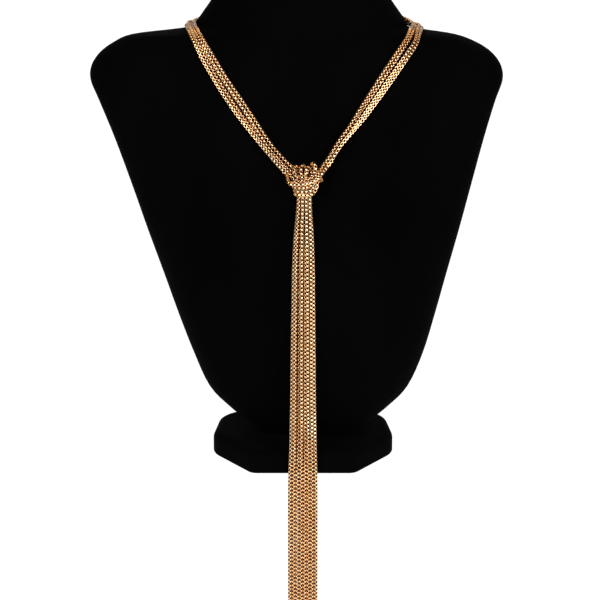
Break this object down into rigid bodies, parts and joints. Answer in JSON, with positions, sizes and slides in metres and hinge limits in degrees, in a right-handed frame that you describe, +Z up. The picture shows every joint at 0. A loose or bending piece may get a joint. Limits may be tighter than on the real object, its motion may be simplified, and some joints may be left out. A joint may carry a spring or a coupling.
{
  "type": "tassel necklace on neck bust",
  "caption": "Gold-coloured necklace of fine box chains tied in a knot, its ends hanging as a long tassel, worn by a black velvet neck bust on a low six-sided foot.",
  "frame": {"origin": "middle of the six-sided foot's underside, the face that the bust stands on", "axes": "+Z up along the neck, -Y out of the chest to the front, +X to the right seen from the front"},
  "size_m": [0.2306, 0.115, 0.3753],
  "materials": {
    "velvet": "matte",
    "chain_metal": "polished",
    "clasp_metal": "polished"
  },
  "bodies": {
    "root": {"neck_bust": "velvet", "bust_foot": "velvet", "left_chain_1": "chain_metal", "left_chain_2": "chain_metal", "left_chain_3": "chain_metal", "left_chain_4": "chain_metal", "right_chain_1": "chain_metal", "right_chain_2": "chain_metal", "right_chain_3": "chain_metal", "right_chain_4": "chain_metal", "clasp": "clasp_metal"}
  },
  "joints": []
}
